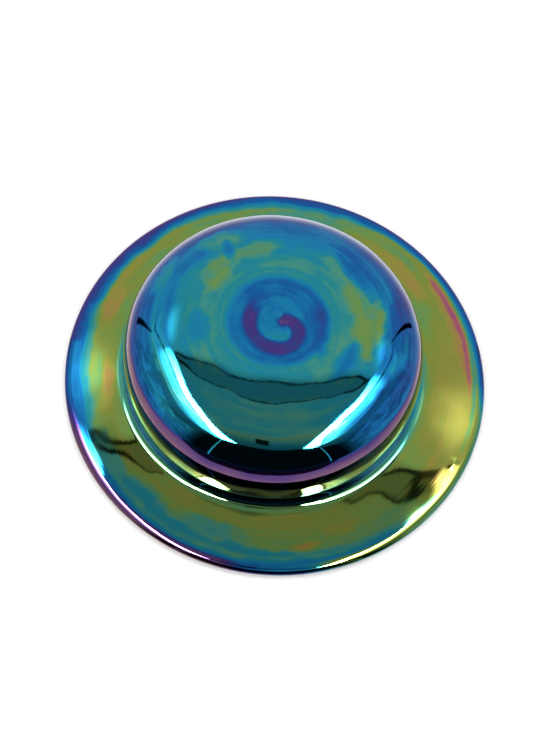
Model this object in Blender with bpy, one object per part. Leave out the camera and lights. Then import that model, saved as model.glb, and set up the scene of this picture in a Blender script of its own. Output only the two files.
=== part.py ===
"""An iridised art glass bowl, standing upside down on its rim.

A deep round well with steep sides turns out into a wide flat rim. The wall is one body of dark glass,
and an iridised lustre skin covers its outside and its inside. The film stops at the resting land, the
narrow flat ring under the lip, where the bare glass shows.

Metres, +Z up. The origin is on the table, under the centre of the rim.
"""

import math

import bmesh
import bpy
from mathutils import Vector
from mathutils.geometry import interpolate_bezier

# The visible outside, measured from the axis and from the table.
RIM_RADIUS = 0.1250
RIM_TOP = 0.0052
LIP_WIDEST_HEIGHT = 0.0028
LIP_ROLL_RADIUS = 0.1205
RUN_OUT_RADIUS = 0.0950
FILLET_RADIUS = 0.0876
FILLET_HEIGHT = 0.0062
WALL_FOOT_RADIUS = 0.0869
WALL_FOOT_HEIGHT = 0.0076
WALL_RADIUS = 0.0866
WALL_HEIGHT = 0.0200
SHOULDER_RADIUS = 0.0844
SHOULDER_HEIGHT = 0.0358
CROWN_HEIGHT = 0.0595
CROWN_FLAT_RADIUS = 0.0180

# The well was blown a little off the middle of the rim.
WELL_LEAN = -0.0029

# Layers, counted inwards from the visible outside.
WALL = 0.0044
SKIN = 0.0004
GAP = 0.0003

# The flat ring that meets the table.
LAND_OUTER_RADIUS = 0.1222
LAND_INNER_RADIUS = 0.1205
INNER_SKIN_EDGE_RADIUS = 0.1180
OUTER_SKIN_LOWEST = 0.0012

TURNS = 48
FLAT = 0.0
DOWN = math.radians(-90)
INWARDS = math.radians(-180)
SHOULDER_HEADING = math.radians(-73)
WALL_HEADING = math.radians(-86)
WALL_FOOT_HEADING = math.radians(-88)
FILLET_HEADING = math.radians(-28)


def clear_scene():
    for item in list(bpy.data.objects):
        bpy.data.objects.remove(item, do_unlink=True)


def bend(start, end, steps):
    """Points along one smooth bend. Each end is (radius, height, heading, handle length)."""
    start_at = Vector((start[0], start[1]))
    end_at = Vector((end[0], end[1]))
    start_handle = start_at + start[3] * Vector((math.cos(start[2]), math.sin(start[2])))
    end_handle = end_at - end[3] * Vector((math.cos(end[2]), math.sin(end[2])))
    return interpolate_bezier(start_at, start_handle, end_handle, end_at, steps + 1)


def outside_line():
    """The visible outside in section, from the axis at the crown round to the underside of the lip."""
    crown = (CROWN_FLAT_RADIUS, CROWN_HEIGHT)
    shoulder = (SHOULDER_RADIUS, SHOULDER_HEIGHT, SHOULDER_HEADING)
    wall = (WALL_RADIUS, WALL_HEIGHT, WALL_HEADING)
    wall_foot = (WALL_FOOT_RADIUS, WALL_FOOT_HEIGHT, WALL_FOOT_HEADING)
    fillet = (FILLET_RADIUS, FILLET_HEIGHT, FILLET_HEADING)
    run_out = (RUN_OUT_RADIUS, RIM_TOP, FLAT)
    lip_roll = (LIP_ROLL_RADIUS, RIM_TOP, FLAT)
    lip = (RIM_RADIUS, LIP_WIDEST_HEIGHT, DOWN)
    land = (LAND_OUTER_RADIUS, 0.0, INWARDS)
    bends = [
        bend((*crown, FLAT, 0.0500), (*shoulder, 0.0140), 7),
        bend((*shoulder, 0.0055), (*wall, 0.0050), 3),
        bend((*wall, 0.0045), (*wall_foot, 0.0045), 2),
        bend((*wall_foot, 0.0006), (*fillet, 0.0003), 2),
        bend((*fillet, 0.0020), (*run_out, 0.0035), 3),
        bend((*run_out, 0.0080), (*lip_roll, 0.0080), 2),
        bend((*lip_roll, 0.0026), (*lip, 0.0013), 3),
        bend((*lip, 0.0015), (*land, 0.0015), 3),
    ]
    points = [Vector((0.0, CROWN_HEIGHT)), Vector(crown)]
    for stretch in bends:
        points += stretch[1:]
    return points


def set_in(points, depth):
    """The same line moved into the wall by depth, square to itself at each point."""
    moved = []
    for index, point in enumerate(points):
        before = points[max(index - 1, 0)]
        after = points[min(index + 1, len(points) - 1)]
        along = (after - before).normalized()
        moved.append(point + depth * Vector((along.y, -along.x)))
    moved[0].x = 0.0
    moved[1].y = moved[0].y
    return moved


def skin_section(points, depth):
    """The closed outline of a skin whose visible side lies at depth."""
    return set_in(points, depth) + set_in(points, depth + SKIN)[::-1]


def inner_stretch(points):
    """The part of the outside line that the inside of the bowl runs parallel to."""
    return [point for point in points if point.x < INNER_SKIN_EDGE_RADIUS and point.y >= RIM_TOP]


def well_offset(radius):
    """How far the bowl leans sideways at this distance from the axis: all of it in the well, none at the lip."""
    share = (radius - RUN_OUT_RADIUS) / (LIP_ROLL_RADIUS - RUN_OUT_RADIUS)
    share = min(max(share, 0.0), 1.0)
    return WELL_LEAN * (1 - share * share * (3 - 2 * share))


def turned(name, section, material):
    """A closed body of revolution from a closed section whose ends lie on the axis."""
    shape = bmesh.new()
    verts = [shape.verts.new((point.x, 0.0, point.y)) for point in section]
    edges = [shape.edges.new(pair) for pair in zip(verts, verts[1:])]
    bmesh.ops.spin(
        shape,
        geom=verts + edges,
        axis=(0, 0, 1),
        cent=(0, 0, 0),
        angle=math.tau,
        steps=TURNS,
        use_merge=True,
    )
    bmesh.ops.remove_doubles(shape, verts=shape.verts, dist=1e-5)
    for vert in shape.verts:
        vert.co.x += well_offset(math.hypot(vert.co.x, vert.co.y))
    bmesh.ops.recalc_face_normals(shape, faces=shape.faces)
    mesh = bpy.data.meshes.new(name)
    shape.to_mesh(mesh)
    shape.free()
    mesh.shade_smooth()
    mesh.set_sharp_from_angle(angle=math.radians(40))
    mesh.materials.append(material)
    body = bpy.data.objects.new(name, mesh)
    bpy.context.scene.collection.objects.link(body)
    return body


def surface(name, colour, roughness, metallic):
    material = bpy.data.materials.new(name)
    material.use_nodes = True
    shader = material.node_tree.nodes["Principled BSDF"]
    shader.inputs["Base Color"].default_value = (*colour, 1.0)
    shader.inputs["Roughness"].default_value = roughness
    shader.inputs["Metallic"].default_value = metallic
    return material


def dark_glass():
    return surface("dark_glass", (0.012, 0.008, 0.014), 0.08, 0.0)


def outer_lustre():
    return surface("outer_lustre", (0.05, 0.24, 0.26), 0.06, 0.9)


def inner_lustre():
    return surface("inner_lustre", (0.16, 0.10, 0.30), 0.08, 0.9)


def make_outer_skin(outside):
    line = [point for point in outside if point.y >= OUTER_SKIN_LOWEST]
    turned("outer_lustre_skin", skin_section(line, 0.0), outer_lustre())


def make_inner_skin(outside):
    line = inner_stretch(outside)
    line.append(Vector((INNER_SKIN_EDGE_RADIUS, RIM_TOP)))
    turned("inner_lustre_skin", skin_section(line, WALL - SKIN), inner_lustre())


def make_glass_wall(outside):
    outer_side = set_in(outside, SKIN + GAP)[:-1]
    land = [Vector((LAND_OUTER_RADIUS, 0.0)), Vector((LAND_INNER_RADIUS, 0.0))]
    line = inner_stretch(outside)
    line.append(Vector((INNER_SKIN_EDGE_RADIUS, RIM_TOP)))
    inner_side = set_in(line, WALL - SKIN - GAP)[::-1]
    turned("glass_wall", outer_side + land + inner_side, dark_glass())


def main():
    clear_scene()
    outside = outside_line()
    make_glass_wall(outside)
    make_outer_skin(outside)
    make_inner_skin(outside)


main()
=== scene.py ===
"""The looks of an iridised art glass bowl that rests upside down on its rim.

The bowl is one blown wall of dark glass under a thin interference film. The film's optical thickness is
laid down point by point when the shells are made, and the material turns it into colour.
"""

import math

import bpy
import numpy as np
from mathutils import Matrix, Vector


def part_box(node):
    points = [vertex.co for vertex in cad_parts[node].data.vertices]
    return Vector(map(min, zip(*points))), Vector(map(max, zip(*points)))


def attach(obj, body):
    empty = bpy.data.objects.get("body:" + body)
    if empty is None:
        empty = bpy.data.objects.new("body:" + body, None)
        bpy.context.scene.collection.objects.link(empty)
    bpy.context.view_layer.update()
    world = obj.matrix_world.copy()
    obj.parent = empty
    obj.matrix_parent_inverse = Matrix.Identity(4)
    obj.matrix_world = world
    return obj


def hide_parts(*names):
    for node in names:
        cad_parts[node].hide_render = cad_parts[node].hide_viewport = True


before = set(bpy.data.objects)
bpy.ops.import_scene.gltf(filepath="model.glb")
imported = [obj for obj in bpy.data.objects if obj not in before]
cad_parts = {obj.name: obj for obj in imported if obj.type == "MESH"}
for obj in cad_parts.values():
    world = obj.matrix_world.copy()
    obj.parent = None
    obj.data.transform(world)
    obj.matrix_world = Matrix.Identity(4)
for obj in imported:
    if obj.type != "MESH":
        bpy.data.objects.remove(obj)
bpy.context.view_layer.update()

# ---- the bowl's section, in metres; the rim and the crown come from the frame ----

SKIN_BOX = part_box("outer_lustre_skin")
GLASS_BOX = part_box("glass_wall")
RIM_RADIUS = (SKIN_BOX[1].x - SKIN_BOX[0].x) / 2
CROWN_HEIGHT = SKIN_BOX[1].z
TABLE_HEIGHT = GLASS_BOX[0].z

RIM_TOP = 0.0052
LIP_WIDEST_HEIGHT = 0.0028
LIP_ROLL_RADIUS = 0.1205
RUN_OUT_RADIUS = 0.0950
FLAT_FROM_RADIUS = 0.0920
FILLET_RADIUS = 0.0876
FILLET_HEIGHT = 0.0062
WALL_FOOT_RADIUS = 0.0869
WALL_FOOT_HEIGHT = 0.0076
WALL_RADIUS = 0.0866
WALL_HEIGHT = 0.0200
SHOULDER_RADIUS = 0.0844
SHOULDER_HEIGHT = 0.0358
CROWN_FLAT_RADIUS = 0.0180
WELL_LEAN = -0.0029

WALL = 0.0044
SKIN = 0.0004
GAP = 0.0003
LAND_OUTER_RADIUS = 0.1222
LAND_INNER_RADIUS = 0.1205
INNER_SKIN_EDGE_RADIUS = 0.1180
OUTER_SKIN_LOWEST = 0.0012

# Points round each ring, and rings on a side that never shows.
TURNS = 400
GLASS_TURNS = 240
HIDDEN_RINGS = 24

FLAT = 0.0
DOWN = math.radians(-90)
INWARDS = math.radians(-180)
SHOULDER_HEADING = math.radians(-73)
WALL_HEADING = math.radians(-86)
WALL_FOOT_HEADING = math.radians(-88)
FILLET_HEADING = math.radians(-28)


def bend(start, end, steps):
    """Points along one smooth bend. Each end is (radius, height, heading, handle length)."""
    start_at = np.array(start[:2])
    end_at = np.array(end[:2])
    start_handle = start_at + start[3] * np.array([math.cos(start[2]), math.sin(start[2])])
    end_handle = end_at - end[3] * np.array([math.cos(end[2]), math.sin(end[2])])
    t = np.linspace(0, 1, steps + 1)[:, None]
    return (
        (1 - t) ** 3 * start_at
        + 3 * (1 - t) ** 2 * t * start_handle
        + 3 * (1 - t) * t**2 * end_handle
        + t**3 * end_at
    )


def outside_line(fine=1.0):
    """The visible outside in section, from the axis at the crown round to the underside of the lip."""
    crown = (CROWN_FLAT_RADIUS, CROWN_HEIGHT, FLAT)
    shoulder = (SHOULDER_RADIUS, SHOULDER_HEIGHT, SHOULDER_HEADING)
    wall = (WALL_RADIUS, WALL_HEIGHT, WALL_HEADING)
    wall_foot = (WALL_FOOT_RADIUS, WALL_FOOT_HEIGHT, WALL_FOOT_HEADING)
    fillet = (FILLET_RADIUS, FILLET_HEIGHT, FILLET_HEADING)
    run_out = (FLAT_FROM_RADIUS, RIM_TOP, FLAT)
    lip_roll = (LIP_ROLL_RADIUS, RIM_TOP, FLAT)
    lip = (RIM_RADIUS, LIP_WIDEST_HEIGHT, DOWN)
    land = (LAND_OUTER_RADIUS, TABLE_HEIGHT, INWARDS)
    stretches = [
        ((0.0, CROWN_HEIGHT, FLAT, 0.0060), (*crown, 0.0060), 12),
        ((*crown, 0.0500), (*shoulder, 0.0140), 80),
        ((*shoulder, 0.0055), (*wall, 0.0050), 16),
        ((*wall, 0.0045), (*wall_foot, 0.0045), 14),
        ((*wall_foot, 0.0006), (*fillet, 0.0003), 8),
        ((*fillet, 0.0014), (*run_out, 0.0020), 16),
        ((*run_out, 0.0080), (*lip_roll, 0.0080), 32),
        ((*lip_roll, 0.0026), (*lip, 0.0013), 18),
        ((*lip, 0.0015), (*land, 0.0015), 12),
    ]
    line = [np.array([[0.0, CROWN_HEIGHT]])]
    for start, end, steps in stretches:
        line.append(bend(start, end, max(2, round(steps * fine)))[1:])
    return np.vstack(line)


def square_to(line):
    """The outward direction at each point of a section line."""
    along = np.gradient(line, axis=0)
    along /= np.linalg.norm(along, axis=1)[:, None]
    out = np.column_stack([-along[:, 1], along[:, 0]])
    out[0] = (0, 1)
    return out


def well_offset(radius):
    """How far the bowl leans sideways at this distance from the axis."""
    share = np.clip((radius - RUN_OUT_RADIUS) / (LIP_ROLL_RADIUS - RUN_OUT_RADIUS), 0, 1)
    return WELL_LEAN * (1 - share * share * (3 - 2 * share))


# ---- hand-made unevenness ----


def ripples(points, seed, count, shortest, longest):
    """A smooth random field over points, about -1 to 1: many plane waves laid over each other."""
    chance = np.random.default_rng(seed)
    field = np.zeros(points.shape[:-1])
    for _ in range(count):
        heading = chance.normal(size=3)
        heading /= np.linalg.norm(heading)
        length = shortest * (longest / shortest) ** chance.random()
        field += np.sin(points @ heading * math.tau / length + math.tau * chance.random())
    return field / math.sqrt(count)


UNEVENNESS = 0.00006
BLISTER_AT = (0.1078, -0.0480)
BLISTER_SIZE = 0.0026
BLISTER_HEIGHT = 0.0005


def uneven(points, line):
    """How far the hand-made surface stands off the true one: inwards, except at a small blister on the rim."""
    field = ripples(points, 11, 28, 0.018, 0.060)
    near_axis = np.clip(line[:, 0] / CROWN_FLAT_RADIUS, 0, 1)[:, None]
    on_lip = np.clip((line[:, 0] - LIP_ROLL_RADIUS) / (RIM_RADIUS - LIP_ROLL_RADIUS), 0, 1)[:, None]
    depth = UNEVENNESS * (np.clip(field, -2, 2) - 2) * near_axis * (1 - on_lip)
    away = np.hypot(points[..., 0] - BLISTER_AT[0], points[..., 1] - BLISTER_AT[1]) / BLISTER_SIZE
    return depth + BLISTER_HEIGHT * np.exp(-2 * away**2)


# ---- shells ----


def layer(line, depth, turns):
    """Points of the outside line turned about the axis and set into the wall by depth: rings x turns x 3."""
    out = square_to(line)
    angle = np.arange(turns) * math.tau / turns
    across = np.cos(angle)[None, :, None] * [1, 0, 0] + np.sin(angle)[None, :, None] * [0, 1, 0]
    points = line[:, :1, None] * across + line[:, 1:, None] * [0, 0, 1]
    outward = out[:, :1, None] * across + out[:, 1:, None] * [0, 0, 1]
    points = points + outward * (uneven(points, line) - depth)[..., None]
    points[..., 0] += well_offset(np.hypot(points[..., 0], points[..., 1]))
    return points


def shell(name, layers, turns):
    """A closed body from rings that start and end on the axis; the first and last ring shrink to a point."""
    rings = np.vstack(layers)
    middle = rings[1:-1].reshape(-1, 3)
    tips = np.array([rings[0].mean(axis=0), rings[-1].mean(axis=0)])
    verts = np.vstack([middle, tips])
    count = len(rings) - 2
    here = np.arange(turns)
    beside = (here + 1) % turns
    faces = []
    for ring in range(count - 1):
        low = ring * turns
        high = low + turns
        faces.append(np.column_stack([low + here, high + here, high + beside, low + beside]))
    quads = np.vstack(faces)
    last = (count - 1) * turns
    start_fan = np.column_stack([np.full(turns, len(middle)), here, beside])
    end_fan = np.column_stack([np.full(turns, len(middle) + 1), last + beside, last + here])
    mesh = bpy.data.meshes.new(name)
    mesh.from_pydata(verts.tolist(), [], quads.tolist() + start_fan.tolist() + end_fan.tolist())
    mesh.shade_smooth()
    mesh.set_sharp_from_angle(angle=math.radians(50))
    mesh.update()
    body = bpy.data.objects.new(name, mesh)
    bpy.context.scene.collection.objects.link(body)
    return body


def film_attribute(body, thickness):
    """Stores the film's optical thickness, in nanometres, on each point."""
    store = body.data.attributes.new("film", "FLOAT", "POINT")
    store.data.foreach_set("value", thickness.astype(np.float32))


def points_of(body):
    flat = np.zeros(len(body.data.vertices) * 3)
    body.data.vertices.foreach_get("co", flat)
    return flat.reshape(-1, 3)


# ---- the film ----

# Optical thickness of the film in nanometres where it shows each colour.
LAVENDER = 282.0
PURPLE = 298.0
BLUE = 332.0
AZURE = 352.0
TEAL = 378.0
GREEN = 403.0
OLIVE = 435.0
GOLD = 452.0
ORANGE = 470.0
PINK = 490.0
MAGENTA = 503.0

# The film over the well by distance from its axis, under the smudges.
CROWN_RINGS = [
    (0.000, AZURE),
    (0.011, AZURE + 10),
    (0.021, BLUE + 4),
    (0.026, BLUE + 8),
    (0.031, TEAL + 6),
    (0.042, TEAL + 12),
    (0.052, TEAL + 4),
    (0.061, AZURE + 12),
    (0.067, AZURE + 20),
    (0.074, AZURE + 6),
]

# Smudges on the crown: across, back, size across, size back, turn in degrees, thickness.
CROWN_SMUDGES = [
    (0.000, -0.040, 0.044, 0.012, 0, TEAL - 8),
    (0.000, -0.056, 0.034, 0.008, 0, TEAL - 2),
    (-0.046, 0.016, 0.010, 0.016, -10, GREEN - 12),
    (-0.036, 0.028, 0.007, 0.013, -15, OLIVE - 8),
    (-0.037, 0.050, 0.014, 0.006, 22, OLIVE - 8),
    (-0.018, 0.045, 0.016, 0.006, 28, OLIVE - 14),
    (-0.033, 0.043, 0.003, 0.007, 20, AZURE + 8),
    (0.030, 0.038, 0.013, 0.006, -42, GREEN + 6),
    (0.042, 0.020, 0.014, 0.006, -62, OLIVE - 10),
    (0.048, 0.000, 0.016, 0.006, -85, OLIVE - 6),
    (0.058, 0.006, 0.014, 0.005, -78, OLIVE + 2),
    (0.040, 0.038, 0.013, 0.005, -48, AZURE - 4),
    (0.040, -0.018, 0.012, 0.0045, -115, AZURE - 6),
    (-0.042, -0.010, 0.006, 0.010, 10, AZURE + 2),
    (0.024, -0.004, 0.004, 0.014, 5, BLUE - 3),
    (-0.066, 0.024, 0.012, 0.0035, 72, GREEN),
    (0.000, 0.058, 0.030, 0.006, 0, TEAL),
    (0.066, 0.012, 0.034, 0.0060, 80, AZURE - 10),
    (0.060, -0.038, 0.030, 0.0060, 58, BLUE + 4),
    (-0.050, 0.056, 0.030, 0.004, 42, AZURE),
]

SPIRAL_CENTRE = (0.001, -0.001)
SPIRAL_RADIUS = 0.0160
SPIRAL_START = 75
SPIRAL_WIND = 150
SPIRAL_LENGTH = 305
SPIRAL_WIDTH = 0.0050

# The blue border's inner edge round the rim: angle from the right round towards the back, radius.
BORDER = [
    (-180, 0.1150),
    (-160, 0.1140),
    (-140, 0.1165),
    (-115, 0.1175),
    (-80, 0.1170),
    (-50, 0.1190),
    (-30, 0.1215),
    (-15, 0.1225),
    (10, 0.1200),
    (45, 0.1192),
    (75, 0.1175),
    (95, 0.1165),
    (120, 0.1165),
    (150, 0.1160),
    (180, 0.1150),
]

# Smudges on the flat rim: angle from the right round towards the back, radius, spread in degrees,
# spread in metres, thickness.
RIM_SMUDGES = [
    (0, 0.1080, 24, 0.0090, GOLD),
    (47, 0.1055, 12, 0.0045, ORANGE + 2),
    (60, 0.1000, 16, 0.0050, GOLD + 4),
    (24, 0.1140, 17, 0.0034, ORANGE),
    (25, 0.1158, 12, 0.0017, MAGENTA),
    (8, 0.1162, 9, 0.0015, PINK + 6),
    (36, 0.1164, 5, 0.0016, PINK + 8),
    (5, 0.1188, 22, 0.0012, GREEN - 10),
    (165, 0.1060, 7, 0.0050, ORANGE),
    (150, 0.1100, 14, 0.0040, GOLD),
    (-176, 0.1130, 12, 0.0040, TEAL + 4),
    (-160, 0.1125, 8, 0.0060, TEAL - 4),
    (-166, 0.0980, 7, 0.0040, ORANGE - 6),
    (-168, 0.1050, 8, 0.0040, GREEN + 14),
    (-140, 0.1120, 10, 0.0070, TEAL + 6),
    (-124, 0.1100, 9, 0.0060, TEAL - 6),
    (-112, 0.1140, 9, 0.0040, AZURE + 10),
    (-102, 0.1060, 9, 0.0050, TEAL + 4),
    (-95, 0.1135, 8, 0.0030, AZURE + 14),
    (-84, 0.1150, 9, 0.0022, AZURE + 6),
    (-74, 0.1105, 4, 0.0014, GOLD + 6),
    (-60, 0.1155, 12, 0.0020, AZURE + 8),
    (-52, 0.1120, 16, 0.0050, GREEN + 2),
    (-50, 0.1020, 18, 0.0060, GREEN + 18),
    (-62, 0.1060, 5, 0.0030, OLIVE + 4),
    (90, 0.1080, 16, 0.0040, GREEN),
]

BAND_LOW = 0.031
BAND_HIGH = 0.0434


def smooth(value, low, high):
    share = np.clip((value - low) / (high - low), 0, 1)
    return share * share * (3 - 2 * share)


def lay(film, thickness, weight):
    """Draws the film towards this thickness by weight, 0 to 1."""
    return film + (thickness - film) * np.clip(weight, 0, 1)


def swept(radius, angle, seed, shortest, longest, turns):
    """Streaks that run round the axis, as on anything spun: they change quickly along the radius only."""
    slow = turns * longest / math.tau
    points = np.column_stack([radius, slow * np.cos(angle), slow * np.sin(angle)])
    return ripples(points, seed, 30, shortest, longest)


def crown_film(across, back, noise, fine):
    """The film over the well: spin rings, a spiral at the middle and smudges."""
    radius = np.hypot(across, back)
    angle = np.arctan2(back, across)
    film = np.interp(radius, *zip(*CROWN_RINGS))
    film += 6 * swept(radius, angle, 7, 0.0024, 0.0070, 0.7)
    film += 6 * noise
    for at_x, at_y, wide, deep, turn, thickness in CROWN_SMUDGES:
        tilt = math.radians(turn)
        along = (across - at_x) * math.cos(tilt) + (back - at_y) * math.sin(tilt)
        beside = (back - at_y) * math.cos(tilt) - (across - at_x) * math.sin(tilt)
        away = (along / wide) ** 2 + (beside / deep) ** 2 + 0.25 * fine
        film = lay(film, thickness, 0.9 * (1 - smooth(away, 0.1, 2.0)))
    film = lay(film, PURPLE + 6, spiral(across - SPIRAL_CENTRE[0], back - SPIRAL_CENTRE[1]))
    core = np.hypot(across - 0.003, back + 0.001) / 0.0028
    return lay(film, PURPLE - 9, np.exp(-(core**2)))


def spiral(across, back):
    """1 inside the arm that winds from the middle of the crown, 0 outside it."""
    radius = np.hypot(across, back)
    turned = (SPIRAL_START - np.degrees(np.arctan2(back, across))) % 360
    arm = SPIRAL_RADIUS * smooth(turned, 0, SPIRAL_WIND)
    width = SPIRAL_WIDTH * (1 - 0.32 * smooth(turned, 60, SPIRAL_WIND))
    fade = 1 - smooth(turned, SPIRAL_LENGTH - 45, SPIRAL_LENGTH)
    return (1 - smooth(np.abs(radius - arm), 0.70 * width, 1.55 * width)) * fade


def rim_film(radius, angle, noise, fine):
    """The film on the flat rim: olive, with smudges and a ragged blue border."""
    turn = np.radians(angle)
    film = OLIVE + 7 * noise + 5 * swept(radius, turn, 13, 0.0030, 0.0090, 2.0)
    front = smooth(-angle, 34, 58) * (1 - smooth(-angle, 118, 145))
    front = front * smooth(radius + 0.002 * noise, 0.0960, 0.1070)
    film = lay(film, GREEN + 2 + 7 * noise, 0.85 * front)
    film = lay(film, GREEN - 5, 1 - smooth(radius, 0.0900, 0.0940))
    strokes = swept(np.zeros(radius.shape), turn, 17, 0.0120, 0.0600, 13.0)
    for at, ring, spread, deep, thickness in RIM_SMUDGES:
        gap = (angle - at + 180) % 360 - 180
        away = (gap / spread) ** 2 + ((radius - ring + 0.0006 * strokes) / deep) ** 2 + 0.25 * fine
        film = lay(film, thickness, 0.92 * (1 - smooth(away, 0.1, 2.2)))
    ragged = smooth(np.abs(angle - 20), 38, 60)
    edge = np.interp(angle, *zip(*BORDER)) + (0.0002 + 0.0006 * ragged) * strokes
    lead = 0.0008 + 0.0030 * ragged + 0.0035 * np.exp(-(((angle - 92) / 24) ** 2))
    film = lay(film, TEAL, smooth(radius, edge - lead, edge + 0.0004))
    film = lay(film, BLUE + 8, smooth(radius, edge - 0.0006, edge + 0.0022))
    violet = smooth(angle, 100, 125) + smooth(-angle, 80, 95) * (1 - smooth(-angle, 125, 140))
    film = lay(film, PURPLE + 8, 0.65 * violet * smooth(radius + 0.0008 * fine, edge + 0.0022, edge + 0.0055))
    lip = smooth(radius, 0.1198, 0.1210)
    film = lay(film, GOLD - 8, 0.8 * lip * smooth(-angle, -5, 10) * (1 - smooth(-angle, 66, 78)))
    return lay(film, LAVENDER - 14, 0.8 * lip * smooth(-angle, 90, 100) * (1 - smooth(-angle, 148, 166)))


def outside_film(points):
    """The film's optical thickness over the whole outside."""
    across = points[:, 0] - well_offset(np.hypot(points[:, 0], points[:, 1]))
    back = points[:, 1]
    height = points[:, 2]
    radius = np.hypot(across, back)
    angle = np.degrees(np.arctan2(back, across))
    noise = ripples(points, 3, 24, 0.018, 0.050)
    fine = ripples(points, 5, 40, 0.0050, 0.0140)
    film = crown_film(across, back, noise, fine)
    band = LAVENDER + 16 + 8 * smooth(height, BAND_LOW + 0.004, BAND_HIGH)
    band = band - 8 * smooth(-across, 0.02, 0.07) + 5 * noise
    film = lay(film, band, 1 - smooth(height, BAND_HIGH - 0.0015, BAND_HIGH + 0.0015))
    film = lay(film, BLUE + 6 * noise, 1 - smooth(height, BAND_LOW - 0.006, BAND_LOW + 0.004))
    film = lay(film, GREEN - 12 + 6 * noise, 1 - smooth(height, WALL_FOOT_HEIGHT + 0.002, WALL_HEIGHT + 0.004))
    on_rim = 1 - smooth(height, FILLET_HEIGHT, WALL_FOOT_HEIGHT + 0.002)
    return lay(film, rim_film(radius, angle, noise, fine), on_rim)


# ---- materials ----


class Graph:
    """Adds nodes to a tree. A socket or a plain value goes in, and the new node's output comes out."""

    def __init__(self, tree):
        self.tree = tree

    def node(self, kind, inputs=(), **settings):
        made = self.tree.nodes.new(kind)
        for key, value in settings.items():
            setattr(made, key, value)
        for key, value in dict(inputs).items():
            self.put(made.inputs[key], value)
        return made

    def put(self, socket, value):
        if isinstance(value, bpy.types.NodeSocket):
            self.tree.links.new(value, socket)
        else:
            socket.default_value = value

    def math(self, operation, first, second=0.0, third=0.0):
        made = self.node("ShaderNodeMath", {0: first, 1: second, 2: third}, operation=operation)
        return made.outputs[0]

    def span(self, value, low, high, to_low=0.0, to_high=1.0):
        inputs = {"Value": value, "From Min": low, "From Max": high, "To Min": to_low, "To Max": to_high}
        made = self.node("ShaderNodeMapRange", inputs, interpolation_type="SMOOTHSTEP")
        return made.outputs["Result"]

    def mix(self, share, first, second):
        made = self.node("ShaderNodeMix", {"Factor": share, "A": first, "B": second}, data_type="FLOAT")
        return made.outputs["Result"]

    def blend(self, share, first, second):
        made = self.node("ShaderNodeMixRGB", {"Fac": share, "Color1": first})
        made.inputs["Color2"].default_value = (*second, 1.0)
        return made.outputs["Color"]

    def noise(self, vector, scale, detail=2.0):
        made = self.node("ShaderNodeTexNoise", {"Vector": vector, "Scale": scale, "Detail": detail})
        return made.outputs["Fac"]

    def ramp(self, value, stops):
        made = self.node("ShaderNodeValToRGB", {"Fac": value})
        elements = made.color_ramp.elements
        while len(elements) < len(stops):
            elements.new(0.5)
        for element, (place, colour) in zip(elements, stops):
            element.position = place
            element.color = (*colour, 1.0)
        return made.outputs["Color"]


THINNEST = 240.0
THICKEST = 540.0
FILM_INDEX = 1.75

# The film's thickness is stated as it is seen this far off square.
USUAL_VIEW = math.radians(26)

# Colour that the film reflects for each optical thickness in nanometres.
FILM_COLOURS = [
    (240, (0.330, 0.190, 0.110)),
    (262, (0.185, 0.088, 0.135)),
    (282, (0.120, 0.058, 0.165)),
    (298, (0.052, 0.030, 0.165)),
    (314, (0.022, 0.050, 0.210)),
    (332, (0.008, 0.090, 0.285)),
    (352, (0.010, 0.170, 0.345)),
    (366, (0.012, 0.195, 0.290)),
    (380, (0.018, 0.205, 0.235)),
    (392, (0.050, 0.240, 0.190)),
    (405, (0.085, 0.235, 0.110)),
    (420, (0.130, 0.245, 0.062)),
    (436, (0.180, 0.225, 0.042)),
    (452, (0.240, 0.225, 0.045)),
    (470, (0.300, 0.165, 0.062)),
    (490, (0.290, 0.085, 0.125)),
    (505, (0.250, 0.045, 0.170)),
    (540, (0.120, 0.040, 0.240)),
]


def material(name):
    made = bpy.data.materials.new(name)
    made.use_nodes = True
    return made, Graph(made.node_tree), made.node_tree.nodes["Principled BSDF"]


# Radius of the circle, in metres, that a streak's noise runs along while the streak goes once round the bowl.
SPIN_ROUND = 0.006
SMALLEST_SPIN_RADIUS = 0.004


def spin_coordinates(graph):
    """A vector that runs fast with distance from the bowl's axis and slowly round it."""
    place = graph.node("ShaderNodeTexCoord").outputs["Object"]
    parts = graph.node("ShaderNodeSeparateXYZ", {"Vector": place}).outputs
    across = graph.math("SUBTRACT", parts["X"], WELL_LEAN)
    squares = [graph.math("POWER", part, 2.0) for part in (across, parts["Y"])]
    radius = graph.math("SQRT", graph.math("ADD", *squares))
    run = graph.math("SUBTRACT", radius, parts["Z"])
    divisor = graph.math("MAXIMUM", radius, SMALLEST_SPIN_RADIUS)
    x, y = [
        graph.math("MULTIPLY", graph.math("DIVIDE", part, divisor), SPIN_ROUND)
        for part in (across, parts["Y"])
    ]
    joined = graph.node("ShaderNodeCombineXYZ", {"X": run, "Y": x, "Z": y})
    return place, joined.outputs["Vector"]


# The film whitens towards grazing, and a speck shows the dark glass.
SHEEN = (0.80, 0.80, 0.84)
SPECK = (0.010, 0.030, 0.035)

# Cells per metre that may hold a speck, and the share of them that stays empty.
SPECK_CELLS = 95.0
EMPTY_CELLS = 0.86


def specks(graph, place):
    """1 at small scattered pinholes and grains of ash, 0 elsewhere."""
    cells = graph.node("ShaderNodeTexVoronoi", {"Vector": place, "Scale": SPECK_CELLS})
    near = graph.span(cells.outputs["Distance"], 0.075, 0.050)
    chance = graph.node("ShaderNodeSeparateColor", {"Color": cells.outputs["Color"]}).outputs["Red"]
    return graph.math("MULTIPLY", near, graph.math("GREATER_THAN", chance, EMPTY_CELLS))


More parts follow.
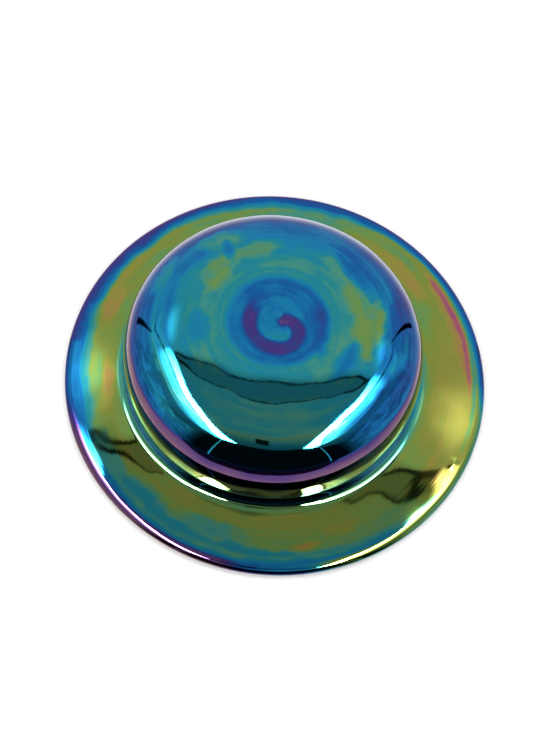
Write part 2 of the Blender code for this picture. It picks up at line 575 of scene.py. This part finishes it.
def seen_film(graph, film):
    """The optical thickness that the eye meets: less of it as the surface turns away."""
    facing = graph.node("ShaderNodeLayerWeight", {"Blend": 0.5}).outputs["Facing"]
    cosine = graph.math("SUBTRACT", 1.0, facing)
    sine_squared = graph.math("SUBTRACT", 1.0, graph.math("MULTIPLY", cosine, cosine))
    inside = graph.math("SQRT", graph.math("MULTIPLY_ADD", sine_squared, -1 / FILM_INDEX**2, 1.0))
    usual = math.sqrt(1 - (math.sin(USUAL_VIEW) / FILM_INDEX) ** 2)
    return graph.math("MULTIPLY", graph.math("MULTIPLY", film, inside), 1 / usual)


def film_colour(graph, seen):
    inputs = {"Value": seen, "From Min": THINNEST, "From Max": THICKEST}
    share = graph.node("ShaderNodeMapRange", inputs).outputs["Result"]
    stops = [((nm - THINNEST) / (THICKEST - THINNEST), colour) for nm, colour in FILM_COLOURS]
    return graph.ramp(share, stops)


def lustre(name, streaks):
    """Mirror-bright interference film over dark glass."""
    made, graph, shader = material(name)
    place, spin = spin_coordinates(graph)
    film = graph.node("ShaderNodeAttribute", attribute_name="film").outputs["Fac"]
    broad = graph.math("SUBTRACT", graph.noise(spin, 260.0, 3.0), 0.5)
    narrow = graph.math("SUBTRACT", graph.noise(spin, 1100.0, 2.0), 0.5)
    cloud = graph.math("SUBTRACT", graph.noise(place, 120.0, 4.0), 0.5)
    film = graph.math("MULTIPLY_ADD", broad, streaks, film)
    film = graph.math("MULTIPLY_ADD", narrow, streaks * 0.4, film)
    film = graph.math("MULTIPLY_ADD", cloud, 14.0, film)
    colour = film_colour(graph, seen_film(graph, film))
    facing = graph.node("ShaderNodeLayerWeight", {"Blend": 0.5}).outputs["Facing"]
    colour = graph.blend(graph.span(facing, 0.50, 1.05, 0.0, 0.85), colour, SHEEN)
    holes = specks(graph, place)
    colour = graph.blend(graph.math("MULTIPLY", holes, 0.65), colour, SPECK)
    graph.put(shader.inputs["Base Color"], colour)
    shader.inputs["Metallic"].default_value = 1.0
    rough = graph.span(graph.noise(place, 45.0, 3.0), 0.35, 0.75, 0.025, 0.060)
    graph.put(shader.inputs["Roughness"], graph.math("MULTIPLY_ADD", holes, 0.15, rough))
    height = graph.math("MULTIPLY_ADD", narrow, 0.4, broad)
    height = graph.math("MULTIPLY_ADD", holes, -2.0, height)
    bump = graph.node("ShaderNodeBump", {"Strength": 1.0, "Distance": 0.000012, "Height": height})
    graph.put(shader.inputs["Normal"], bump.outputs["Normal"])
    return made


def dark_glass():
    made, graph, shader = material("dark_glass")
    place = graph.node("ShaderNodeTexCoord").outputs["Object"]
    grain = graph.noise(place, 400.0, 3.0)
    colour = graph.ramp(grain, [(0.3, (0.006, 0.004, 0.008)), (0.7, (0.016, 0.010, 0.020))])
    graph.put(shader.inputs["Base Color"], colour)
    graph.put(shader.inputs["Roughness"], graph.span(grain, 0.3, 0.7, 0.06, 0.22))
    bump = graph.node("ShaderNodeBump", {"Strength": 0.4, "Distance": 0.00004, "Height": grain})
    graph.put(shader.inputs["Normal"], bump.outputs["Normal"])
    return made


# ---- pieces ----


def dress(body, node, look):
    body.data.materials.append(look)
    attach(body, "root")
    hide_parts(node)


def make_outer():
    line = outside_line()
    keep = (line[:, 1] >= OUTER_SKIN_LOWEST) | (line[:, 0] < LAND_INNER_RADIUS)
    line = line[keep]
    coarse = np.unique(np.linspace(0, len(line) - 1, HIDDEN_RINGS).round().astype(int))
    shown = layer(line, 0.0, TURNS)
    hidden = layer(line, SKIN, TURNS)[coarse][::-1]
    body = shell("outer_lustre", [shown, hidden], TURNS)
    film_attribute(body, outside_film(points_of(body)))
    dress(body, "outer_lustre_skin", lustre("outer_lustre", 34.0))


def make_inner():
    line = outside_line(0.6)
    line = line[line[:, 0] < INNER_SKIN_EDGE_RADIUS]
    coarse = np.unique(np.linspace(0, len(line) - 1, HIDDEN_RINGS).round().astype(int))
    shown = layer(line, WALL, TURNS)
    hidden = layer(line, WALL - SKIN, TURNS)[coarse]
    body = shell("inner_lustre", [hidden, shown[::-1]], TURNS)
    points = points_of(body)
    film = PURPLE + 50 * smooth(points[:, 2], TABLE_HEIGHT, CROWN_HEIGHT)
    film += 22 * ripples(points, 21, 24, 0.015, 0.05)
    film_attribute(body, film)
    dress(body, "inner_lustre_skin", lustre("inner_lustre", 26.0))


def make_glass():
    line = outside_line(0.35)
    outer = layer(line, SKIN + GAP, GLASS_TURNS)[:-1]
    angle = np.arange(GLASS_TURNS) * math.tau / GLASS_TURNS
    circle = np.column_stack([np.cos(angle), np.sin(angle), np.zeros(GLASS_TURNS)])
    land = [(radius * circle + [0, 0, TABLE_HEIGHT])[None] for radius in (LAND_OUTER_RADIUS, LAND_INNER_RADIUS)]
    line = line[line[:, 0] < INNER_SKIN_EDGE_RADIUS]
    inner = layer(line, WALL - SKIN - GAP, GLASS_TURNS)[::-1]
    body = shell("glass_body", [outer, *land, inner], GLASS_TURNS)
    dress(body, "glass_wall", dark_glass())


# ---- studio ----


# Brightness for rays that light the floor, and of the soft white sides and back as the glass mirrors them.
ROOM_LEVEL = 1.25
SIDE_LEVEL = 1.0
BACK_SIDE_LEVEL = 1.1

# Bearings are in degrees from the camera's side, positive to the right.
OPENING_BEARING = 6.5
OPENING_LEVEL = 0.010
OPENING_POSTS = (-30.0, 42.0)
POST_LEVEL = 1.6
EDGE_BEARING = 122.0
EDGE_LEVEL = 0.01


def make_world():
    """Far surroundings: soft white all round, an unlit opening with two posts on the camera's side, and a
    dark upright edge on each flank. They are fixed in the room and don't follow the camera."""
    world = bpy.data.worlds.new("studio")
    world.use_nodes = True
    bpy.context.scene.world = world
    graph = Graph(world.node_tree)
    direction = graph.node("ShaderNodeTexCoord").outputs["Generated"]
    parts = graph.node("ShaderNodeSeparateXYZ", {"Vector": direction}).outputs
    bearing = graph.math("DEGREES", graph.math("ARCTAN2", parts["X"], graph.math("MULTIPLY", parts["Y"], -1.0)))
    side = graph.math("ABSOLUTE", graph.math("SUBTRACT", bearing, OPENING_BEARING))
    up = graph.math("DEGREES", graph.math("ARCSINE", parts["Z"]))

    level = graph.mix(graph.span(side, 122.0, 112.0), BACK_SIDE_LEVEL, SIDE_LEVEL)
    folds = graph.noise(direction, 7.0, 3.0)
    creases = graph.span(folds, 0.42, 0.60, -0.35, 0.15)
    creases = graph.math("MULTIPLY", creases, graph.span(side, 120.0, 105.0))
    level = graph.math("ADD", level, creases)
    opening = graph.math("MULTIPLY", graph.span(side, 66.0, 44.0), graph.span(up, 62.0, 58.0))
    level = graph.mix(opening, level, OPENING_LEVEL)
    for at in OPENING_POSTS:
        post = graph.span(graph.math("ABSOLUTE", graph.math("SUBTRACT", bearing, at)), 0.55, 0.15)
        level = graph.mix(graph.math("MULTIPLY", post, opening), level, POST_LEVEL)
    edge = graph.math("ABSOLUTE", graph.math("SUBTRACT", side, EDGE_BEARING))
    wide = graph.span(up, 40.0, 15.0, 0.5, 1.3)
    dark = graph.math("MULTIPLY", graph.math("LESS_THAN", edge, wide), graph.span(up, 46.0, 40.0))
    level = graph.mix(dark, level, EDGE_LEVEL)

    rays = graph.node("ShaderNodeLightPath").outputs
    level = graph.mix(rays["Is Diffuse Ray"], level, ROOM_LEVEL)
    level = graph.mix(rays["Is Camera Ray"], level, 1.0)
    background = world.node_tree.nodes["Background"]
    graph.put(background.inputs["Strength"], level)
    background.inputs["Color"].default_value = (1.0, 1.0, 1.0, 1.0)


# The overhead panel: a light-tent roof with two folds and a light strip along each side.
PANEL_HEIGHT = 0.205
PANEL_HALF_WIDTH = 0.262
PANEL_FRONT = -0.186
PANEL_BACK = 0.130
PANEL_STEP = 0.0014
STRIP_LEVEL = 75.0
STRIP_END_LEVEL = 22.0
SEAM_WIDTH = 0.0042
GLOW_LEVEL = 13.0
GLOW_END_LEVEL = 1.2
STRIP_WIDTH = 0.021
GLOW_WIDTH = 0.088
BACK_LEVEL = 1.4
HALO_LEVEL = 2.8
HALO_AT = (0.156, 0.070)
HALO_SIZE = (0.026, 0.038)

FOLD_LEVEL = 0.02
FOLD_THICKNESS = 0.0013
SQUARE_AT = (-0.005, -0.146)
SQUARE_HALF_SIZE = (0.011, 0.012)

# Inner edge of each strip: back, across.
LEFT_STRIP = [(-0.181, 0.054), (-0.133, 0.086), (-0.034, 0.124), (0.051, 0.178)]
RIGHT_STRIP = [(-0.180, 0.087), (-0.119, 0.093), (-0.038, 0.116), (0.050, 0.164)]


def strip_glow(across, back, edge_points, glow, veil):
    """Lays one side's light strip, its dark seam and the soft glow outside it over the panel."""
    edge = np.polyval(np.polyfit(*zip(*edge_points), 3), np.clip(back, PANEL_FRONT, 0.08))
    out = across - edge
    seam = STRIP_WIDTH + 0.020 * smooth(-back, 0.11, 0.18) + 0.006 * smooth(back, -0.03, 0.05)
    fade = 1 - smooth(back, 0.000, 0.034)
    soft_share = np.clip((out - seam) / (GLOW_WIDTH - seam), 0, 1)
    brushed = ripples(np.column_stack([out, 0.05 * back, 0 * out]), 37, 24, 0.004, 0.016)
    soft = GLOW_LEVEL * (GLOW_END_LEVEL / GLOW_LEVEL) ** soft_share * np.exp(0.45 * brushed)
    core = STRIP_LEVEL * (STRIP_END_LEVEL / STRIP_LEVEL) ** smooth(back, -0.030, 0.020)
    level = np.where(out < seam, core, soft) * fade + BACK_LEVEL * (1 - fade)
    on_seam = 1 - smooth(np.abs(out - seam), 0.3 * SEAM_WIDTH, SEAM_WIDTH)
    level = lay(level, 0.05, on_seam)
    blur = 0.0024 + 0.010 * smooth(back, -0.01, 0.05)
    inside = smooth(out, -blur, 0.2 * blur) * (1 - smooth(out, GLOW_WIDTH - 0.012, GLOW_WIDTH))
    inside = inside * (1 - smooth(back, 0.090, PANEL_BACK))
    front = PANEL_FRONT + 0.003 + 0.75 * np.clip(across - 0.105, 0, 1)
    inside = inside * smooth(back, front, front + 0.003)
    halo = np.exp(-(((across - HALO_AT[0]) / HALO_SIZE[0]) ** 2) - ((back - HALO_AT[1]) / HALO_SIZE[1]) ** 2)
    halo = halo * smooth(back, 0.0, 0.03)
    on_side = across > 0
    glow = np.where(on_side, lay(lay(glow, HALO_LEVEL, halo), level, inside), glow)
    veil = np.where(on_side, np.maximum(veil, np.maximum(inside, halo)), veil)
    return glow, veil


def panel_glow(points):
    """Brightness and cover of each point of the overhead panel."""
    across = points[:, 0]
    back = points[:, 1]
    wave = 0.0022 * ripples(np.column_stack([across, 0 * across, 0 * across]), 31, 12, 0.03, 0.11)
    front_fold = -0.022 + 2.0 * (across + 0.005) ** 2 + wave
    back_fold = 0.006 + 0.010 * smooth(np.abs(across + 0.005), 0.01, 0.07) - 0.6 * wave
    between = smooth(back, front_fold, front_fold + 0.001) * (1 - smooth(back, back_fold, back_fold + 0.004))
    reach = 1 - smooth(np.abs(across), 0.140, 0.150)
    glow = lay(0.22 + 0.38 * smooth(back, PANEL_FRONT, -0.09), 0.36, between)
    veil = 1 - smooth(back, back_fold - 0.001, back_fold + 0.014)
    veil = veil * np.maximum(reach, smooth(-back, 0.02, 0.03))
    thick = FOLD_THICKNESS + 0.0030 * smooth(np.abs(across), 0.09, 0.125)
    for fold in (front_fold, back_fold):
        line = (1 - smooth(np.abs(back - fold), 0.4 * thick, 1.3 * thick)) * reach
        glow = lay(glow, FOLD_LEVEL, line)
        veil = np.maximum(veil, line)
    square = np.abs(across - SQUARE_AT[0]) < SQUARE_HALF_SIZE[0]
    square &= np.abs(back - SQUARE_AT[1]) < SQUARE_HALF_SIZE[1]
    glow = np.where(square, FOLD_LEVEL, glow)
    glow, veil = strip_glow(-across, back, LEFT_STRIP, glow, veil)
    glow, veil = strip_glow(across, back, RIGHT_STRIP, glow, veil)
    return glow, veil


def panel_look():
    made, graph, shader = material("overhead_panel")
    made.node_tree.nodes.remove(shader)
    glow = graph.node("ShaderNodeAttribute", attribute_name="glow").outputs["Fac"]
    veil = graph.node("ShaderNodeAttribute", attribute_name="veil").outputs["Fac"]
    shine = graph.node("ShaderNodeEmission", {"Strength": glow})
    clear = graph.node("ShaderNodeBsdfTransparent")
    both = graph.node("ShaderNodeMixShader", {0: veil, 1: clear.outputs[0], 2: shine.outputs[0]})
    output = made.node_tree.nodes["Material Output"]
    graph.put(output.inputs["Surface"], both.outputs[0])
    return made


def seen_in_glass_only(name, points, faces, look):
    """A part of the studio that shows only as a reflection: it lights and shades nothing else."""
    mesh = bpy.data.meshes.new(name)
    mesh.from_pydata(points.tolist(), [], faces.tolist())
    mesh.materials.append(look)
    body = bpy.data.objects.new(name, mesh)
    bpy.context.scene.collection.objects.link(body)
    body.visible_camera = False
    body.visible_diffuse = False
    body.visible_shadow = False
    return mesh


def make_overhead_panel():
    across = np.arange(-PANEL_HALF_WIDTH, PANEL_HALF_WIDTH, PANEL_STEP)
    back = np.arange(PANEL_FRONT, PANEL_BACK, PANEL_STEP)
    grid = np.stack(np.meshgrid(across, back), axis=-1).reshape(-1, 2)
    points = np.column_stack([grid, np.full(len(grid), PANEL_HEIGHT)])
    corner = (np.arange(len(back) - 1)[:, None] * len(across) + np.arange(len(across) - 1)).reshape(-1)
    faces = np.column_stack([corner, corner + 1, corner + 1 + len(across), corner + len(across)])
    mesh = seen_in_glass_only("overhead_panel", points, faces, panel_look())
    for name, values in zip(("glow", "veil"), panel_glow(points)):
        store = mesh.attributes.new(name, "FLOAT", "POINT")
        store.data.foreach_set("value", values.astype(np.float32))


# Plan of the black sheet of painted shade in front: across, back.
PAINTED_SHADE_SHEET_LINE = [(-0.90, -0.90), (-0.16, -0.25), (0.16, -0.25), (0.90, -0.90)]
PAINTED_SHADE_SHEET_HEIGHT = 0.060


def make_painted_shade_sheet():
    """A black sheet in front, seen only in the glass, that stands in for the unlit surroundings on the camera's
    side: painted shade. Beyond it the pale floor isn't seen in the glass.
    """
    points = np.array([(*place, height) for height in (TABLE_HEIGHT, PAINTED_SHADE_SHEET_HEIGHT) for place in PAINTED_SHADE_SHEET_LINE])
    lengths = np.arange(len(PAINTED_SHADE_SHEET_LINE) - 1)
    faces = np.column_stack([lengths, lengths + 1, lengths + 1 + len(PAINTED_SHADE_SHEET_LINE), lengths + len(PAINTED_SHADE_SHEET_LINE)])
    look, _, shader = material("unlit_painted_shade_sheet")
    # Near-black base colour: painted shade for the unlit surroundings in front.
    shader.inputs["Base Color"].default_value = (0.004, 0.005, 0.006, 1.0)
    shader.inputs["Roughness"].default_value = 0.9
    seen_in_glass_only("painted_shade_sheet", points, faces, look)


def make_floor():
    half = 3.0
    mesh = bpy.data.meshes.new("floor")
    corners = [(-half, -half, 0), (half, -half, 0), (half, half, 0), (-half, half, 0)]
    mesh.from_pydata(corners, [], [(0, 1, 2, 3)])
    floor = bpy.data.objects.new("floor", mesh)
    floor.location.z = TABLE_HEIGHT - 0.0002
    bpy.context.scene.collection.objects.link(floor)
    look, _, shader = material("pale_floor")
    shader.inputs["Base Color"].default_value = (0.9, 0.9, 0.9, 1.0)
    shader.inputs["Roughness"].default_value = 0.7
    mesh.materials.append(look)


# ---- camera ----

ELEVATION = math.radians(64.0)
ROLL = math.radians(7.52)
DISTANCE = 4.292 * RIM_RADIUS
AIM = Vector((0.0180 * RIM_RADIUS, -0.0303 * RIM_RADIUS, LIP_WIDEST_HEIGHT))
LENS = 43.4
SENSOR = 36.0


def make_camera():
    data = bpy.data.cameras.new("camera")
    data.lens = LENS
    data.sensor_width = SENSOR
    data.clip_start = 0.01
    camera = bpy.data.objects.new("camera", data)
    bpy.context.scene.collection.objects.link(camera)
    back = Vector((0, -math.cos(ELEVATION), math.sin(ELEVATION)))
    right = Vector((1, 0, 0))
    up = back.cross(right)
    turned_right = math.cos(ROLL) * right + math.sin(ROLL) * up
    turned_up = math.cos(ROLL) * up - math.sin(ROLL) * right
    turn = Matrix((turned_right, turned_up, back)).transposed().to_4x4()
    camera.matrix_world = Matrix.Translation(AIM + DISTANCE * back) @ turn
    bpy.context.scene.camera = camera


bpy.context.scene.view_settings.view_transform = "Standard"
make_camera()
make_outer()
make_inner()
make_glass()
make_floor()
make_world()
make_overhead_panel()
# The black sheet of painted shade in front, seen only in the glass.
make_painted_shade_sheet()
